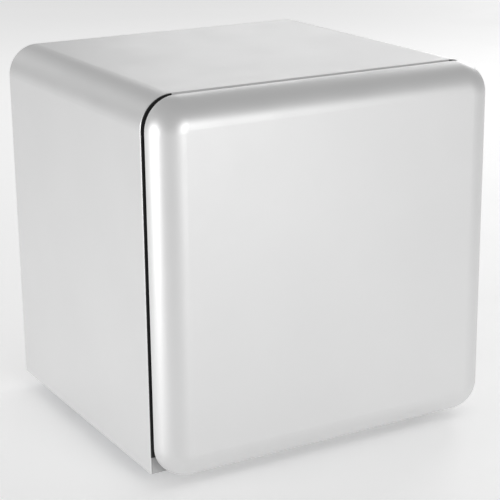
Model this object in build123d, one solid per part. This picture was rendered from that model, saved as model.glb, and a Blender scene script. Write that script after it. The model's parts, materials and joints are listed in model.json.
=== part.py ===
from build123d import *
import os

os.makedirs("parts", exist_ok=True)

# Overall form, millimetres, +Z up, front towards -Y
CAB_W = 472.0
CAB_H = 464.0
CAB_D = 401.0
GAP = 10.0
DOOR_T = 36.0
DOOR_DROP = 2.0
CORNER_R = 40.0
ROLL_R = 35.0
FOOT_H = 18.0
HEAD_H = 2.0

DEPTH = DOOR_T + GAP + CAB_D + HEAD_H
HALF_W = CAB_W / 2
Y_DOOR = -DEPTH / 2
Y_DBACK = Y_DOOR + DOOR_T
Y_FRONT = Y_DBACK + GAP
Y_REAR = Y_FRONT + CAB_D
Z_BASE = FOOT_H
Z_TOP = Z_BASE + CAB_H
Z_DOOR = Z_BASE - DOOR_DROP
Z_MID = (Z_DOOR + Z_TOP) / 2

# Sheet and wall thicknesses
WRAP_T = 1.0
SHEET_T = 1.2
FRAME_T = 1.6
LINER_T = 2.0
SKIN_T = 1.5
FIT = 0.1

# Front face of the cabinet
FRONT_FLANGE = 32.0
FRONT_WINDOW_R = 12.0
SILL_H = 36.0
SILL_D = 25.0
FRAME_LOW = 22.0
FRAME_LAP = 3.0
FRAME_INSET = 0.2
BARE_EDGE = 6.0
BEND_R = 2.0

# Rear face and base
REAR_FLANGE = 14.0
REAR_WINDOW_R = 26.0
PAN_LIP = 14.0
REAR_SCREWS_A_SIDE = 4
REAR_SCREW_PITCH = 78.0
REAR_SCREW_R = 1.9
REAR_HEAD_R = 4.0

# Food space
CAV_HALF = 196.0
CAV_FLOOR = Z_BASE + 44.0
CAV_TOP = Z_TOP - 40.0
Y_CAV = Y_REAR - 46.0
STEP_WALL = 30.0
CAV_EDGE_R = 16.0
CAV_STEP_R = 12.0
CAV_SIDE_R = 10.0
LINER_LIP = 7.5
RIB_REACH = 10.0
RIB_H = 7.0

# Space for the compressor at the lower rear
Y_MACH = Y_REAR - 140.0
Z_MACH = Z_BASE + 160.0
Y_STEP = Y_MACH - SHEET_T - STEP_WALL
Z_STEP = Z_MACH + SHEET_T + STEP_WALL
MACH_R = 12.0

# Door hinge, pins near the right edge of the door
HINGE_X = HALF_W - 9.0
HINGE_Y = Y_DBACK - 10.0
ARM_HALF = 6.5
ARM_T = 3.0
ARM_Z = 60.0
HINGE_PLATE_H = 44.0
PIN_R = 3.0
PIN_H = 11.0
BUSH_R = 5.0
BUSH_H = 12.0
POCKET_H = 15.0
HINGE_SEAT_Z = ARM_Z + ARM_T + 1.0
HINGE_SCREW_Z = (75.0, 95.0)
HINGE_SCREW_R = 2.0
HINGE_HEAD_R = 4.0
WASHER_R = 5.5
WASHER_T = 0.9
BLOCK_X = 216.0
BLOCK_D = 27.0
BLOCK_Z = (44.0, 86.0)
BACKING_Z = (62.0, 108.0)

# Evaporator box and the pieces around it
EVAP_X = -36.0
EVAP_HALF = 150.0
EVAP_Z0 = 326.0
EVAP_Z1 = 434.0
Y_EVAP = Y_FRONT + 140.0
EVAP_D = 200.0
EVAP_T = 1.5
EVAP_R = 14.0
CHANNELS = 7
CHANNEL_W = 7.0
CHANNEL_PITCH = 26.0
CHANNEL_H = 1.6
CHANNEL_EDGE = 22.0
HANGER_X = 110.0
HANGER_Y = (40.0, 160.0)
SPACER_R = 7.0
FREEZER_FRAME_D = 10.0
FREEZER_RIM = 11.0
FLAP_AXIS_Y = Y_EVAP - 15.5
FLAP_AXIS_Z = 428.0
FLAP_HALF = EVAP_HALF - 3.5
FLAP_T = 4.0
FLAP_LUG_R = 5.0
FLAP_PIN_R = 2.0
FLAP_PULL_HALF = 30.0

# Drip tray and its rails
TRAY_HALF = 128.0
TRAY_Z0 = 290.0
TRAY_LIP_Z = 312.3
TRAY_LIP_W = 12.5
TRAY_WALL = 2.0
TRAY_TOP = TRAY_LIP_Z + 2.5
TRAY_PULL_HALF = 40.0
TRAY_RAIL_X = 143.0

# Shelf
SHELF_Z = 236.0
SHELF_T = 4.0
SHELF_HALF = 190.0
Y_SHELF = Y_FRONT + 122.0
TRIM_FRONT_D = 13.0
TRIM_REAR_D = 11.0
TRIM_LIP = 3.0

# Thermostat
KNOB_X = 160.0
KNOB_Z = 410.0
KNOB_R = 20.0
KNOB_H = 15.5
GRIP_H = 9.0
Y_THERM = Y_FRONT + 150.0
THERM_D = 110.0
THERM_X = 124.0
THERM_Z = 378.0
THERM_WALL = 2.5
SHAFT_R = 3.0
SENSOR_R = 1.0

# Compressor
COMP_X = 70.0
COMP_Y = Y_MACH + 70.0
COMP_A = 72.0
COMP_B = 55.0
COMP_Z = 32.0
SEAM_Z = 100.0
LID_Z = 148.0
MOUNT_HALF_X = 95.0
MOUNT_HALF_Y = 48.0
MOUNT_T = 2.5
BOLT_X = 82.0
BOLT_Y = 38.0
BOLT_R = 3.0
BOLT_HEAD_R = 5.5
GROMMET_R = 9.0
RELAY_HALF = 20.0
TERMINAL_HALF = 27.0
TERMINAL_Z = (48.0, 96.0)

# Rail under the compressor and the inlet for the mains lead
RAIL_FRONT = Y_REAR - 130.0
RAIL_REAR = Y_REAR - 8.0
RAIL_FRONT_LIP = 12.0
RAIL_REAR_LIP = 24.0
GLAND_X = -130.0
GLAND_Z = Z_BASE + 13.0
GLAND_R = 8.0
GLAND_LIP = 3.0
GLAND_HOLE_R = 6.0
LEAD_R = 3.6

# Condenser loops in a thin layer behind each side wall, and the drier
COIL_X = HALF_W - WRAP_T - 3.2
COIL_R = 2.4
COIL_RUNS = 6
COIL_PITCH = 42.0
COIL_DROPS = (Y_REAR - 45.0, Y_REAR - 22.0)
COIL_FRONT = Y_FRONT + 50.0
COIL_BACK = Y_REAR - 70.0
COIL_LOW = Z_MACH + 40.0
COIL_BEND = 7.0
LINK_Z = Z_MACH - 26.0
DRIER_X = -150.0
DRIER_Y = Y_REAR - 60.0
DRIER_TOP = Z_MACH - 44.0
DRIER_H = 70.0
DRIER_R = 8.0

# Refrigerant lines, with the room kept round them where they pass a wall
LINE_Y = Y_REAR - 30.0
LINE_ROOM = 0.4
DISCHARGE_Z = 125.0
CAPILLARY_X = -90.0
CAPILLARY_R = 1.2
CAPILLARY_Z = 395.0
SUCTION_X = -70.0
SUCTION_R = 3.2
SUCTION_Z = 380.0
SUCTION_LOW = 122.0
PROCESS_R = 2.6
PROCESS_Z = 118.0

# Door liner, racks and seal
PLUG_HALF = 184.0
PLUG_Z0 = 72.0
PLUG_Z1 = 432.0
PLUG_RISE = 8.0
PLUG_R = 22.0
DYKE_X0 = 152.0
DYKE_X1 = 178.0
DYKE_Z0 = 80.0
DYKE_Z1 = 284.0
DYKE_REACH = 45.0
RACKS = {"lower_rack": (86.0, 64.0, 80.0), "upper_rack": (190.0, 46.0, 60.0)}
RACK_WALL = 2.0
RACK_BASE = 2.2
RACK_WINDOW_X = 24.0
PEG_Y = Y_DBACK + 32.0
PEG_D = 10.0
PEG_Z = (18.0, 26.0)
SEAL_HALF = 217.0
SEAL_W = 15.0
SEAL_LOW = CAV_FLOOR - 20.0
SEAL_TOP = CAV_TOP + 19.0
SEAL_GAP = 0.3

# Feet
FOOT_X = 175.0
FOOT_Y = Y_FRONT + 45.0
STUD_R = 4.0
STUD_TOP = 40.0
PAD_R = 17.0
PAD_H = 9.0
HEX_R = 7.5
HEX_Z = 10.5
HEX_H = 6.5
NUT_R = 9.0
NUT_H = 10.0
REAR_FOOT_R = 15.0
REAR_FOOT_Y = Y_REAR - 45.0


def block(x0, x1, y0, y1, z0, z1):
    """Box between two corners."""
    centre = Pos((x0 + x1) / 2, (y0 + y1) / 2, (z0 + z1) / 2)
    return centre * Box(abs(x1 - x0), abs(y1 - y0), abs(z1 - z0))


def post(x, y, z0, z1, radius):
    """Upright cylinder."""
    return Pos(x, y, (z0 + z1) / 2) * Cylinder(radius, z1 - z0)


def rod_y(x, z, y0, y1, radius):
    """Cylinder lying front to back."""
    return Pos(x, (y0 + y1) / 2, z) * Rot(90, 0, 0) * Cylinder(radius, y1 - y0)


def rod_x(y, z, x0, x1, radius):
    """Cylinder lying left to right."""
    return Pos((x0 + x1) / 2, y, z) * Rot(0, 90, 0) * Cylinder(radius, x1 - x0)


def slab(sketch, y0, y1):
    """Front-view outline given thickness from y0 to y1."""
    plane = Plane(origin=(0, y1, 0), x_dir=(1, 0, 0), z_dir=(0, -1, 0))
    return extrude(plane * sketch, amount=y1 - y0)


def round_rect(x0, x1, z0, z1, radius):
    """Rounded rectangle in front view."""
    return Pos((x0 + x1) / 2, (z0 + z1) / 2) * RectangleRounded(x1 - x0, z1 - z0, radius)


def arch(inset, z0):
    """Cabinet outline in front view: round at the top, square at the bottom."""
    half = HALF_W - inset
    top = Z_TOP - inset
    outline = Pos(0, (z0 + top) / 2) * Rectangle(2 * half, top - z0)
    return fillet(outline.vertices().sort_by(Axis.Y)[-2:], CORNER_R - inset)


def front_edges(shape, z_low):
    """Edges of the face nearest the viewer, above a height."""
    face = shape.faces().sort_by(Axis.Y)[0]
    return [e for e in face.edges() if e.center().Z > z_low]


def back_edges(shape):
    """Edges of the face farthest from the viewer."""
    return shape.faces().sort_by(Axis.Y)[-1].edges()


def tube(points, radius, bend):
    """Round tube along a path with equal bends."""
    path = FilletPolyline(*points, radius=bend)
    start = Plane(origin=path @ 0, z_dir=path % 0)
    return sweep(start * Circle(radius), path=path)


def flip(shape):
    """The same piece at the other end of the door."""
    return mirror(shape, about=Plane.XY.offset(Z_MID))


def save(shape, name):
    export_step(shape, "parts/" + name + ".step")


def save_group(shapes, name):
    save(Compound(children=list(shapes)), name)


# Cabinet sheet metal
def wrap_block(inset, y0, y1, edge_r):
    body = slab(arch(inset, Z_BASE - 5), y0, y1)
    return fillet(front_edges(body, Z_BASE), edge_r)


def outer_wrap():
    shell = wrap_block(0, Y_FRONT, Y_REAR - WRAP_T, BEND_R)
    shell -= wrap_block(WRAP_T, Y_FRONT + WRAP_T, Y_REAR - 2 * WRAP_T, BEND_R - WRAP_T)
    window = HALF_W - FRONT_FLANGE
    hole = round_rect(-window, window, Z_BASE - 30, Z_TOP - FRONT_FLANGE, FRONT_WINDOW_R)
    shell -= slab(hole, Y_FRONT - 1, Y_FRONT + 5)
    window = HALF_W - REAR_FLANGE
    hole = round_rect(-window, window, Z_BASE - 60, Z_TOP - REAR_FLANGE, REAR_WINDOW_R)
    shell -= slab(hole, Y_REAR - 5, Y_REAR)
    inner = HALF_W - WRAP_T
    shell -= block(-inner, inner, Y_FRONT - 1, Y_FRONT + 5, Z_BASE - 10, Z_BASE + SILL_H + 0.5)
    shell -= block(-HALF_W - 1, HALF_W + 1, Y_FRONT - 1, Y_REAR + 1, Z_BASE - 10, Z_BASE)
    return shell - hinge_screws(FIT)


def front_sill():
    half = HALF_W - SKIN_T
    back = Y_FRONT + SILL_D
    top = Z_BASE + SILL_H
    rail = block(-half, half, Y_FRONT, back, Z_BASE, top)
    return rail - block(-half - 1, half + 1, Y_FRONT + SHEET_T, back + 1, Z_BASE + SHEET_T, top - SHEET_T)


def front_frame():
    """Dark frame round the opening. Along the straight top the painted edge of the wrap shows above it."""
    low = Z_BASE + FRAME_LOW
    frame = slab(arch(FRAME_INSET, low), Y_FRONT - FRAME_T, Y_FRONT)
    lip = CAV_HALF + FRAME_LAP
    hole = round_rect(-lip, lip, CAV_FLOOR - FRAME_LAP, CAV_TOP + FRAME_LAP, CAV_SIDE_R + FRAME_LAP)
    frame -= slab(hole, Y_FRONT - 5, Y_FRONT + 1)
    straight = HALF_W - CORNER_R
    frame -= block(-straight, straight, Y_FRONT - 5, Y_FRONT + 1, Z_TOP - BARE_EDGE, Z_TOP)
    return frame - hinge_screws(FIT)


def base_pan():
    half = HALF_W - SKIN_T
    y0 = Y_FRONT + SILL_D + 0.5
    y1 = Y_MACH - SHEET_T
    pan = block(-half, half, y0, y1, Z_BASE, Z_BASE + SHEET_T)
    for side in (-1, 1):
        edge = side * half
        pan += block(edge - side * SHEET_T, edge, y0, y1, Z_BASE, Z_BASE + PAN_LIP)
        pan -= post(side * FOOT_X, FOOT_Y, Z_BASE - 1, Z_BASE + 5, STUD_R + 1)
    return pan


def step_profile(grow):
    """Solid under the sheet that roofs the compressor space."""
    half = HALF_W - SKIN_T
    body = block(-half, half, Y_MACH - grow, Y_REAR + 5, Z_BASE - 5, Z_MACH + grow)
    edge = body.edges().filter_by(Axis.X).sort_by(lambda e: e.center().Y - e.center().Z)[0]
    return fillet([edge], MACH_R + grow)


def step_panel():
    sheet = step_profile(SHEET_T) - step_profile(0)
    sheet -= block(-HALF_W, HALF_W, Y_REAR - 2 * WRAP_T - FIT, Y_REAR + 10, 0, Z_TOP)
    sheet -= block(-HALF_W, HALF_W, Y_FRONT, Y_REAR, 0, Z_BASE + SHEET_T)
    for line in (suction_tube(LINE_ROOM), capillary_tube(LINE_ROOM)):
        sheet -= line
    for side in (-1, 1):
        for y in COIL_DROPS:
            sheet -= post(side * COIL_X, y, Z_MACH - 10, Z_MACH + 10, COIL_R + LINE_ROOM)
    return sheet


def rear_panel():
    panel = slab(arch(SKIN_T, Z_MACH - 4), Y_REAR - WRAP_T, Y_REAR)
    for screw in rear_panel_screws():
        panel -= screw
    return panel


def rear_panel_screws():
    screws = []
    for side in (-1, 1):
        for k in range(REAR_SCREWS_A_SIDE):
            x = side * (HALF_W - REAR_FLANGE / 2)
            z = Z_MACH + 12 + k * REAR_SCREW_PITCH
            head = rod_y(x, z, Y_REAR, Y_REAR + HEAD_H, REAR_HEAD_R)
            screws.append(head + rod_y(x, z, Y_REAR - WRAP_T, Y_REAR, REAR_SCREW_R))
    return screws


# Food space, liner and foam
def at_step(corner, grow):
    """True for the corner of the side view where the step stands proud."""
    return abs(corner.X - Y_STEP - grow) < 0.01 and abs(corner.Y - Z_STEP + grow) < 0.01


def cavity(grow):
    """Food space with its step, grown outwards by an amount."""
    y0 = Y_FRONT - 1
    low = CAV_FLOOR - grow
    top = CAV_TOP + grow
    outline = Polygon(
        (y0, low),
        (Y_STEP + grow, low),
        (Y_STEP + grow, Z_STEP - grow),
        (Y_CAV + grow, Z_STEP - grow),
        (Y_CAV + grow, top),
        (y0, top),
        align=None,
    )
    outer = [v for v in outline.vertices() if v.X > y0 + 1 and not at_step(v, grow)]
    outline = fillet(outer, CAV_EDGE_R + grow)
    inner = [v for v in outline.vertices() if at_step(v, grow)]
    outline = fillet(inner, CAV_STEP_R - grow)
    body = extrude(Plane.YZ * outline, amount=CAV_HALF + grow, both=True)
    ends = body.faces().sort_by(Axis.X)
    rims = [e for face in (ends[0], ends[-1]) for e in face.edges() if e.center().Y > y0 + 0.5]
    return fillet(rims, CAV_SIDE_R + grow)


def inner_liner():
    lip = CAV_HALF + LINER_LIP
    rim = round_rect(-lip, lip, CAV_FLOOR - LINER_LIP, CAV_TOP + LINER_LIP, CAV_SIDE_R + LINER_LIP)
    flange = slab(rim, Y_FRONT, Y_FRONT + LINER_T)
    tub = cavity(LINER_T) - block(-CAB_W, CAB_W, Y_DOOR, Y_FRONT, 0, CAB_W + 50)
    tub += flange
    tub -= cavity(0)
    for side in (-1, 1):
        wall = side * (CAV_HALF + 1)
        inner = side * (CAV_HALF - RIB_REACH)
        low = SHELF_Z - TRIM_LIP - RIB_H
        tub += block(inner, wall, Y_FRONT + 70, Y_CAV - 10, low, low + RIB_H)
    for screw in evaporator_screws(FIT):
        tub -= screw
    for line in (suction_tube(LINE_ROOM), capillary_tube(LINE_ROOM)):
        tub -= line
    return tub


def cabinet_foam():
    y0 = Y_FRONT + LINER_T + FIT
    foam = slab(arch(WRAP_T, Z_BASE + SHEET_T), y0, Y_REAR - 2 * WRAP_T)
    foam -= cavity(LINER_T)
    foam -= step_profile(SHEET_T)
    half = HALF_W
    foam -= block(-half, half, Y_FRONT, Y_MACH, Z_BASE, Z_BASE + PAN_LIP)
    y1 = Y_MACH - SHEET_T
    foam += block(-half + 3, half - 3, Y_FRONT + SILL_D + 1, y1, Z_BASE + SHEET_T, Z_BASE + PAN_LIP)
    foam -= block(-half, half, Y_FRONT, Y_FRONT + SILL_D, Z_BASE, Z_BASE + SILL_H)
    half = HALF_W - SKIN_T
    foam -= block(half, half + 3, Y_MACH - 2, Y_REAR, Z_BASE, Z_MACH + SHEET_T)
    foam -= block(-half - 3, -half, Y_MACH - 2, Y_REAR, Z_BASE, Z_MACH + SHEET_T)
    for side in (-1, 1):
        foam -= post(side * FOOT_X, FOOT_Y, Z_BASE, Z_BASE + SHEET_T + NUT_H, NUT_R + FIT)
        foam -= post(side * FOOT_X, FOOT_Y, Z_BASE, STUD_TOP + 5, STUD_R + 1)
    for plate in hinge_backing_plates():
        foam -= plate
    foam -= hinge_screws(FIT)
    for screw in evaporator_screws(FIT):
        foam -= screw
    for line in (suction_tube(LINE_ROOM), capillary_tube(LINE_ROOM)):
        foam -= line
    for side in (-1, 1):
        layer = sorted((side * (COIL_X - COIL_R - 0.3), side * HALF_W))
        foam -= block(layer[0], layer[1], Y_FRONT + 40, Y_REAR - 15, Z_MACH, CAV_TOP - 2)
    return foam


# Compressor and its circuit
def compressor_rail():
    half = HALF_W - SKIN_T
    rail = block(-half, half, RAIL_FRONT, RAIL_REAR, Z_BASE, Z_BASE + SKIN_T)
    rail += block(-half, half, RAIL_FRONT, RAIL_FRONT + SKIN_T, Z_BASE, Z_BASE + RAIL_FRONT_LIP)
    rail += block(-half, half, RAIL_REAR - SKIN_T, RAIL_REAR, Z_BASE, Z_BASE + RAIL_REAR_LIP)
    rail -= rod_y(GLAND_X, GLAND_Z, RAIL_REAR - 5, RAIL_REAR + 5, GLAND_HOLE_R)
    for bolt in compressor_bolts():
        rail -= bolt
    return rail


def cord_gland():
    y0 = RAIL_REAR - SKIN_T
    y1 = RAIL_REAR
    gland = rod_y(GLAND_X, GLAND_Z, y0 - GLAND_LIP, y1 + GLAND_LIP, GLAND_R)
    groove = rod_y(GLAND_X, GLAND_Z, y0 - FIT / 2, y1 + FIT / 2, GLAND_R + 1)
    gland -= groove - rod_y(GLAND_X, GLAND_Z, y0 - 5, y1 + 5, GLAND_HOLE_R - FIT)
    return gland - rod_y(GLAND_X, GLAND_Z, y0 - 9, y1 + 9, LEAD_R)


def ellipse_can(grow, z0, z1):
    return extrude(Pos(COMP_X, COMP_Y, z0) * Ellipse(COMP_A + grow, COMP_B + grow), amount=z1 - z0)


def compressor_can():
    can = ellipse_can(0, COMP_Z, SEAM_Z)
    return fillet(can.faces().sort_by(Axis.Z)[0].edges(), 12)


def compressor_lid():
    lid = ellipse_can(0, SEAM_Z, LID_Z)
    lid = fillet(lid.faces().sort_by(Axis.Z)[-1].edges(), 24)
    seam = ellipse_can(2.5, SEAM_Z, SEAM_Z + 6)
    return lid + seam


def bolt_places():
    return [(COMP_X + sx * BOLT_X, COMP_Y + sy * BOLT_Y) for sx in (-1, 1) for sy in (-1, 1)]


def compressor_mount_plate():
    plate = Pos(COMP_X, COMP_Y, COMP_Z - MOUNT_T / 2) * Box(2 * MOUNT_HALF_X, 2 * MOUNT_HALF_Y, MOUNT_T)
    plate = fillet(plate.edges().filter_by(Axis.Z), 12)
    for bolt in compressor_bolts():
        plate -= bolt
    return plate


def compressor_bolts():
    bolts = []
    for x, y in bolt_places():
        bolts.append(post(x, y, Z_BASE - 3, COMP_Z, BOLT_R) + post(x, y, COMP_Z, COMP_Z + 4, BOLT_HEAD_R))
    return bolts


def compressor_grommets():
    z0 = Z_BASE + SKIN_T
    rings = []
    for x, y in bolt_places():
        ring = post(x, y, z0, COMP_Z - MOUNT_T, GROMMET_R) - post(x, y, z0 - 1, COMP_Z, BOLT_R + 0.2)
        waist = post(x, y, z0 + 4, z0 + 6.5, GROMMET_R + 3) - post(x, y, z0 + 4, z0 + 6.5, GROMMET_R - 2)
        rings.append(ring - waist)
    return rings


def terminal_cover():
    x0 = COMP_X - COMP_A - 34
    x1 = COMP_X - COMP_A + 22
    low, top = TERMINAL_Z
    wall = 2
    y0 = COMP_Y - TERMINAL_HALF
    y1 = COMP_Y + TERMINAL_HALF
    cover = fillet(block(x0, x1, y0, y1, low, top).edges().filter_by(Axis.X), 5)
    cover -= block(x0 + wall, COMP_X, y0 + wall, y1 - wall, low + wall, top - wall)
    return cover - ellipse_can(0.3, 0, LID_Z)


def start_relay():
    x0 = COMP_X - COMP_A - 28
    low, top = TERMINAL_Z
    relay = block(x0, x0 + 24, COMP_Y - RELAY_HALF, COMP_Y + RELAY_HALF, low + 8, top - 8)
    return relay - ellipse_can(0.3, 0, LID_Z)


def coil_side(side):
    """Path of the hidden condenser loops behind one side wall, bottom to top and back."""
    x = side * COIL_X
    points = [(x, COIL_DROPS[0], Z_MACH - 20)]
    for k in range(COIL_RUNS):
        z = COIL_LOW + k * COIL_PITCH
        ends = (COIL_BACK, COIL_FRONT) if k % 2 == 0 else (COIL_FRONT, COIL_BACK)
        first = COIL_DROPS[0] if k == 0 else ends[0]
        last = COIL_DROPS[1] if k == COIL_RUNS - 1 else ends[1]
        points += [(x, first, z), (x, last, z)]
    points.append((x, COIL_DROPS[1], Z_MACH - 20))
    return points


def condenser_coil():
    right = coil_side(1)
    left = coil_side(-1)
    left.reverse()
    drier_in = [
        (-COIL_X, COIL_DROPS[0], LINK_Z),
        (DRIER_X, COIL_DROPS[0], LINK_Z),
        (DRIER_X, DRIER_Y, LINK_Z),
        (DRIER_X, DRIER_Y, DRIER_TOP),
    ]
    path = right[:-1]
    path += [(COIL_X, COIL_DROPS[1], LINK_Z), (-COIL_X, COIL_DROPS[1], LINK_Z)]
    path += left[1:-1] + drier_in
    return tube(path, COIL_R, COIL_BEND)


def discharge_tube():
    line = tube(
        [
            (COMP_X + 40, COMP_Y, DISCHARGE_Z),
            (COMP_X + 40, COIL_DROPS[0], DISCHARGE_Z),
            (COIL_X, COIL_DROPS[0], DISCHARGE_Z),
            (COIL_X, COIL_DROPS[0], Z_MACH - 20),
        ],
        COIL_R,
        COIL_BEND,
    )
    return line - compressor_lid()


def filter_drier():
    body = post(DRIER_X, DRIER_Y, DRIER_TOP - DRIER_H, DRIER_TOP, DRIER_R)
    return fillet(body.edges(), 5)


def capillary_tube(grow):
    z0 = DRIER_TOP - DRIER_H
    return tube(
        [
            (DRIER_X, DRIER_Y, z0),
            (DRIER_X, DRIER_Y, z0 - 12),
            (CAPILLARY_X, DRIER_Y, z0 - 12),
            (CAPILLARY_X, LINE_Y, z0 - 12),
            (CAPILLARY_X, LINE_Y, CAPILLARY_Z),
            (CAPILLARY_X, Y_EVAP + EVAP_D + FIT, CAPILLARY_Z),
        ],
        CAPILLARY_R + grow,
        5,
    )


def suction_tube(grow):
    line = tube(
        [
            (COMP_X - 30, COMP_Y, SUCTION_LOW),
            (COMP_X - 30, LINE_Y, SUCTION_LOW),
            (SUCTION_X, LINE_Y, SUCTION_LOW),
            (SUCTION_X, LINE_Y, SUCTION_Z),
            (SUCTION_X, Y_EVAP + EVAP_D + FIT, SUCTION_Z),
        ],
        SUCTION_R + grow,
        9,
    )
    return line - ellipse_can(FIT, SEAM_Z - 10, LID_Z - 20)


def process_tube():
    line = tube(
        [
            (COMP_X + 10, COMP_Y, PROCESS_Z),
            (COMP_X + 10, COMP_Y + 62, PROCESS_Z),
            (COMP_X + 10, COMP_Y + 62, PROCESS_Z + 22),
        ],
        PROCESS_R,
        6,
    )
    return line - ellipse_can(FIT, SEAM_Z - 10, LID_Z - 20)


# Evaporator and what hangs with it
def evaporator():
    x0 = EVAP_X - EVAP_HALF
    x1 = EVAP_X + EVAP_HALF
    y1 = Y_EVAP + EVAP_D
    box = slab(round_rect(x0, x1, EVAP_Z0, EVAP_Z1, EVAP_R), Y_EVAP, y1)
    t = EVAP_T
    box -= slab(round_rect(x0 + t, x1 - t, EVAP_Z0 + t, EVAP_Z1 - t, EVAP_R - t), Y_EVAP - 1, y1 - t)
    low = EVAP_Z0 + t - 0.5
    top = EVAP_Z0 + t + CHANNEL_H
    left = x0 + CHANNEL_EDGE
    right = x1 - CHANNEL_EDGE
    for k in range(CHANNELS):
        y = Y_EVAP + 16 + k * CHANNEL_PITCH
        box += block(left, right, y, y + CHANNEL_W, low, top)
        if k < CHANNELS - 1:
            link = left if k % 2 == 0 else right - CHANNEL_W
            box += block(link, link + CHANNEL_W, y, y + CHANNEL_PITCH + CHANNEL_W, low, top)
    for screw in evaporator_screws(FIT):
        box -= screw
    return box


def hanger_places():
    return [(EVAP_X + sx * HANGER_X, Y_EVAP + dy) for sx in (-1, 1) for dy in HANGER_Y]


def evaporator_spacers():
    rings = []
    for x, y in hanger_places():
        rings.append(post(x, y, EVAP_Z1, CAV_TOP, SPACER_R) - post(x, y, EVAP_Z1 - 1, CAV_TOP + 1, 2.2))
    return rings


def evaporator_screws(grow):
    low = EVAP_Z1 - EVAP_T
    screws = []
    for x, y in hanger_places():
        screws.append(post(x, y, low - 2.2, low, 4 + grow) + post(x, y, low, CAV_TOP + 14, 2 + grow))
    return screws


def freezer_frame():
    x0 = EVAP_X - EVAP_HALF - 3
    x1 = EVAP_X + EVAP_HALF + 3
    y0 = Y_EVAP - FREEZER_FRAME_D
    rim = FREEZER_RIM
    ring = slab(round_rect(x0, x1, EVAP_Z0 - 3, EVAP_Z1 + 3, EVAP_R + 2), y0, Y_EVAP)
    ring -= slab(round_rect(x0 + rim, x1 - rim, EVAP_Z0 + 8, EVAP_Z1 - 10, 10), y0 - 1, Y_EVAP + 1)
    for side in (-1, 1):
        outer = EVAP_X + side * (EVAP_HALF + 2)
        inner = EVAP_X + side * (EVAP_HALF - 3)
        lug = block(outer, inner, FLAP_AXIS_Y, y0 + 1, FLAP_AXIS_Z - FLAP_LUG_R, FLAP_AXIS_Z + FLAP_LUG_R)
        lug += rod_x(FLAP_AXIS_Y, FLAP_AXIS_Z, min(inner, outer), max(inner, outer), FLAP_LUG_R)
        ring += lug
    hole = FLAP_HALF + 4.5
    return ring - rod_x(FLAP_AXIS_Y, FLAP_AXIS_Z, EVAP_X - hole, EVAP_X + hole, FLAP_PIN_R + 0.08)


def freezer_flap():
    x0 = EVAP_X - FLAP_HALF
    x1 = EVAP_X + FLAP_HALF
    back = FLAP_AXIS_Y + 5
    plate = slab(round_rect(x0, x1, EVAP_Z0 + 2, FLAP_AXIS_Z + 1, 4), back - FLAP_T, back)
    plate += rod_x(FLAP_AXIS_Y, FLAP_AXIS_Z, x0, x1, FLAP_T)
    half = FLAP_PULL_HALF
    pull = block(EVAP_X - half, EVAP_X + half, back - 16, back - 3, EVAP_Z0 + 9, EVAP_Z0 + 12.5)
    plate += fillet(pull.edges().filter_by(Axis.Z).sort_by(Axis.Y)[:2], 6)
    return plate + rod_x(FLAP_AXIS_Y, FLAP_AXIS_Z, x0 - 4, x1 + 4, FLAP_PIN_R)


def drip_tray():
    x0 = EVAP_X - TRAY_HALF
    x1 = EVAP_X + TRAY_HALF
    y0 = Y_EVAP - 16
    y1 = Y_EVAP + EVAP_D - 8
    w = TRAY_WALL
    tub = fillet(block(x0, x1, y0, y1, TRAY_Z0, TRAY_TOP).edges().filter_by(Axis.Z), 10)
    tub = fillet(tub.faces().sort_by(Axis.Z)[0].edges(), 5)
    hollow = block(x0 + w, x1 - w, y0 + w, y1 - w, TRAY_Z0 + w, TRAY_TOP + 9)
    hollow = fillet(hollow.edges().filter_by(Axis.Z), 10 - w)
    tub -= fillet(hollow.faces().sort_by(Axis.Z)[0].edges(), 5 - w)
    for side in (-1, 1):
        edge = EVAP_X + side * (TRAY_HALF - 1)
        tub += block(edge, edge + side * TRAY_LIP_W, y0 + 20, y1 - 12, TRAY_LIP_Z, TRAY_TOP)
    half = TRAY_PULL_HALF
    pull = block(EVAP_X - half, EVAP_X + half, y0 - 10, y0 + 1, TRAY_LIP_Z, TRAY_TOP)
    return tub + fillet(pull.edges().filter_by(Axis.Z).sort_by(Axis.Y)[:2], 5)


def tray_rails():
    rails = []
    for side in (-1, 1):
        web = EVAP_X + side * TRAY_RAIL_X
        y0 = Y_EVAP + 2
        y1 = Y_EVAP + EVAP_D - 4
        rail = block(web, web - side * 16, y0, y1, EVAP_Z0 - 2, EVAP_Z0)
        rail += block(web, web - side * 2, y0, y1, TRAY_LIP_Z - 2.3, EVAP_Z0)
        rail += block(web, web - side * 11.5, y0, y1, TRAY_LIP_Z - 2.3, TRAY_LIP_Z - 0.3)
        rails.append(rail)
    return rails


# Thermostat
def thermostat_housing():
    y0 = Y_THERM
    y1 = Y_THERM + THERM_D
    w = THERM_WALL
    shell = block(THERM_X, CAV_HALF, y0, y1, THERM_Z, CAV_TOP)
    shell = fillet(shell.edges().filter_by(Axis.Y).sort_by(lambda e: e.center().X + e.center().Z)[:1], 10)
    shell = fillet(shell.faces().sort_by(Axis.Y)[0].edges().sort_by(Axis.X)[:3], 3)
    shell -= block(THERM_X + w, CAV_HALF + 1, y0 + w, y1 - w, THERM_Z + w, CAV_TOP - w)
    shell &= cavity(-0.2)
    shell -= rod_y(KNOB_X, KNOB_Z, y0 - 1, y0 + 5, SHAFT_R + LINE_ROOM)
    return shell - sensor_tube(LINE_ROOM)


def thermostat_body():
    y0 = Y_THERM + 12
    body = block(KNOB_X - 18, KNOB_X + 18, y0, y0 + 42, KNOB_Z - 16, KNOB_Z + 16)
    return body - rod_y(KNOB_X, KNOB_Z, y0 - 1, y0 + 14, SHAFT_R + 0.06)


def thermostat_shaft():
    return rod_y(KNOB_X, KNOB_Z, Y_THERM - 10, Y_THERM + 25, SHAFT_R)


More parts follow.
